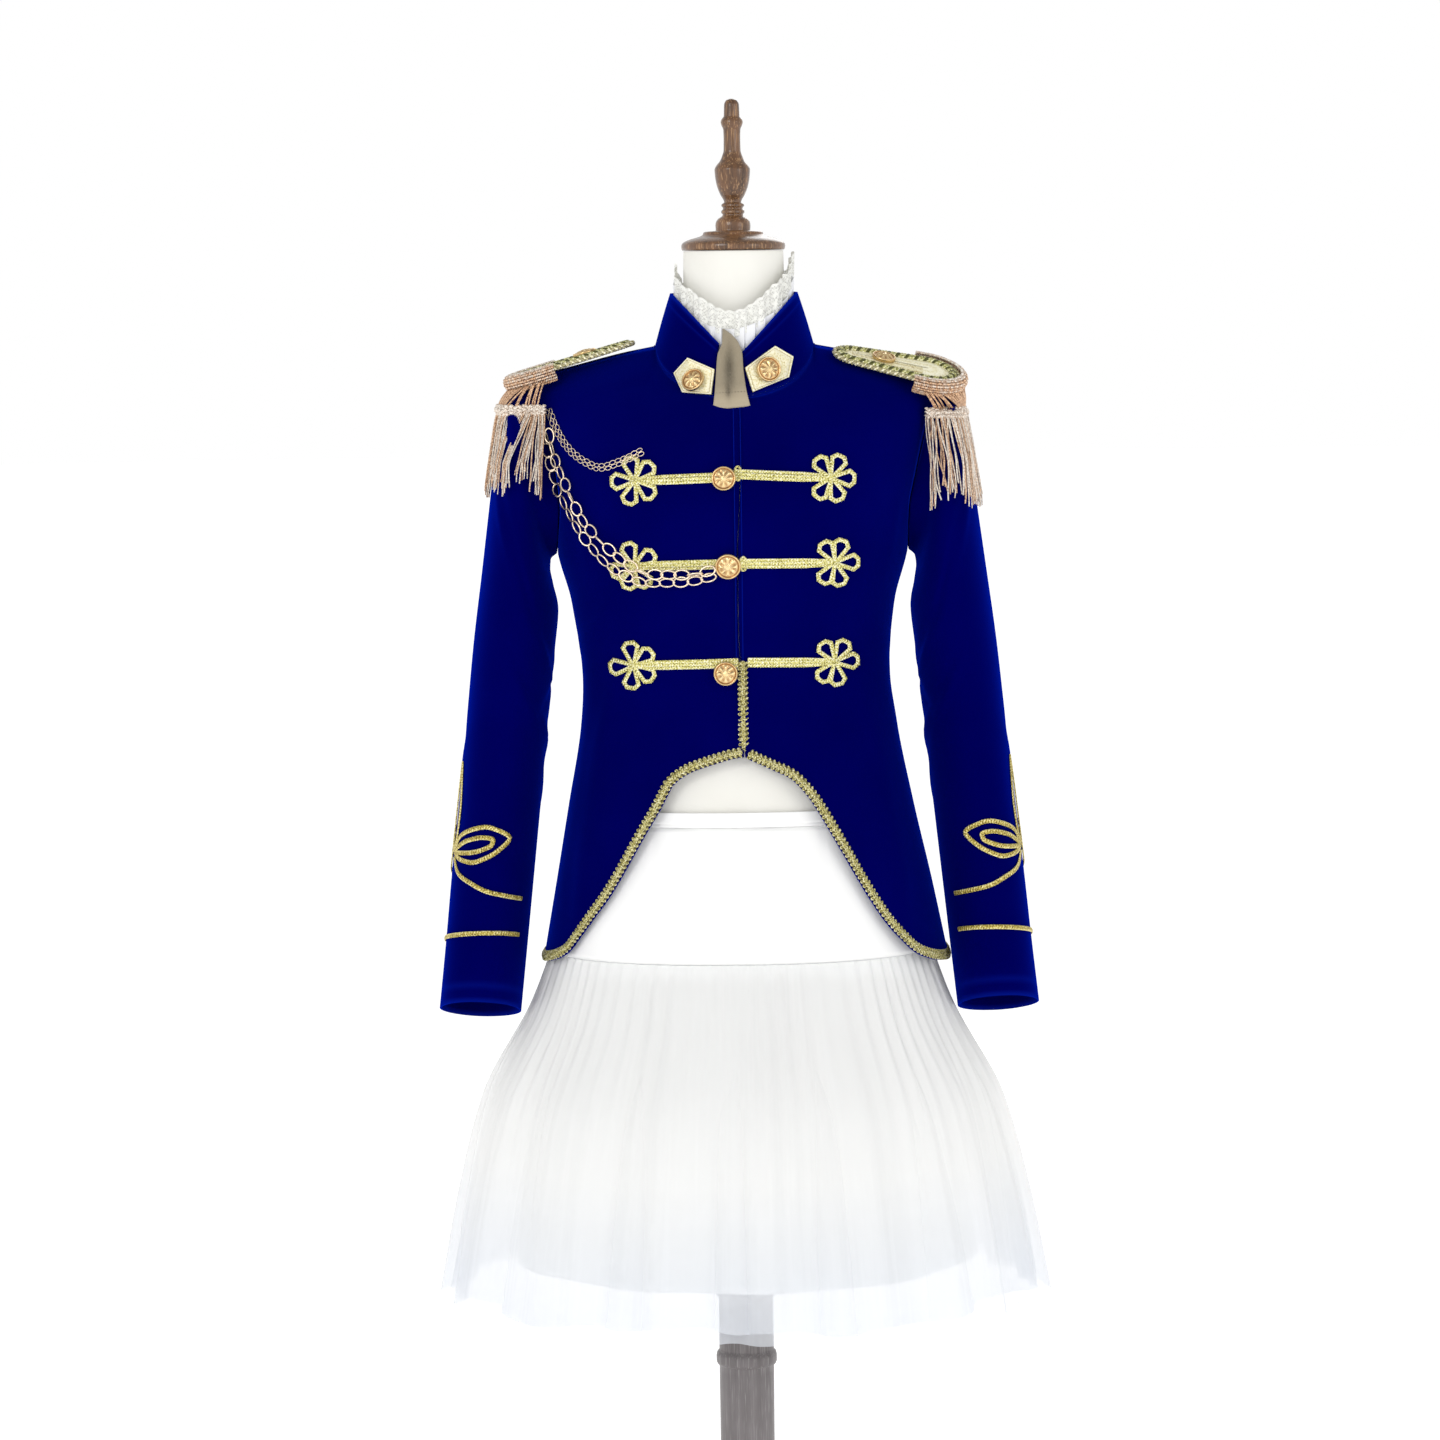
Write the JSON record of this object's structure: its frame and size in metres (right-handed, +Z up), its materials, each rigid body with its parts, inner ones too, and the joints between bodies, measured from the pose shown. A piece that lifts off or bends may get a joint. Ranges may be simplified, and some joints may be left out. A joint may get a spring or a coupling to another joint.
{
  "type": "military-style dress suit on a dress form",
  "caption": "Cutaway velvet jacket with braid, chains and fringed epaulettes over a gathered tulle skirt, on a limbless dress form with a turned wooden cap, pole and round base.",
  "frame": {"origin": "centre of the base's underside, on the floor", "axes": "+Z up along the pole; the suit's front faces -Y; +X is the viewer's right as seen from the front"},
  "size_m": [0.581, 0.5528, 1.6],
  "materials": {
    "velvet": "cotton velvet, deep royal blue, short dense pile",
    "form_cloth": "ivory jersey drawn tight over the form",
    "wood": "dark turned hardwood, waxed",
    "pole_wood": "grey brown turned wood, satin varnish",
    "satin": "white satin",
    "tulle": "white tulle in several layers, let light through",
    "gold_braid": "looped gold lurex braid",
    "pale_gold": "pale gold satin and twisted cord",
    "copper_bullion": "copper and ivory bullion thread",
    "button_gold": "stamped brass, light gold plate",
    "chain_gold": "pale rose gold plated wire",
    "taupe": "taupe wool mix cloth"
  },
  "bodies": {
    "root": {"button_bottom": "button_gold", "button_middle": "button_gold", "button_top": "button_gold", "chain_lower": "chain_gold", "chain_upper": "chain_gold", "collar_button_left": "button_gold", "collar_button_right": "button_gold", "collar_tab_left": "pale_gold", "collar_tab_right": "pale_gold", "cuff_line_left": "gold_braid", "cuff_line_right": "gold_braid", "epaulette_board_left": "pale_gold", "epaulette_board_right": "pale_gold", "epaulette_braid_left": "gold_braid", "epaulette_braid_right": "gold_braid", "epaulette_button_left": "button_gold", "epaulette_button_right": "button_gold", "epaulette_crescent_left": "copper_bullion", "epaulette_crescent_right": "copper_bullion", "epaulette_fringe_left": "copper_bullion", "epaulette_fringe_right": "copper_bullion", "epaulette_rope_left": "pale_gold", "epaulette_rope_right": "pale_gold", "fine_chain": "chain_gold", "form_finial": "wood", "form_torso": "form_cloth", "frog_left_bottom": "gold_braid", "frog_left_middle": "gold_braid", "frog_left_top": "gold_braid", "frog_right_bottom": "gold_braid", "frog_right_middle": "gold_braid", "frog_right_top": "gold_braid", "front_braid": "gold_braid", "hem_braid_back": "gold_braid", "hem_braid_left": "gold_braid", "hem_braid_right": "gold_braid", "jacket_back": "velvet", "jacket_collar": "velvet", "jacket_front_left": "velvet", "jacket_front_right": "velvet", "neck_ruffle": "satin", "skirt_lining": "satin", "skirt_tulle_back": "tulle", "skirt_tulle_front": "tulle", "skirt_waistband": "satin", "skirt_yoke": "satin", "sleeve_knot_left": "gold_braid", "sleeve_knot_right": "gold_braid", "sleeve_left": "velvet", "sleeve_right": "velvet", "stand_base": "pole_wood", "stand_pole": "pole_wood", "throat_tab": "taupe"}
  },
  "joints": []
}
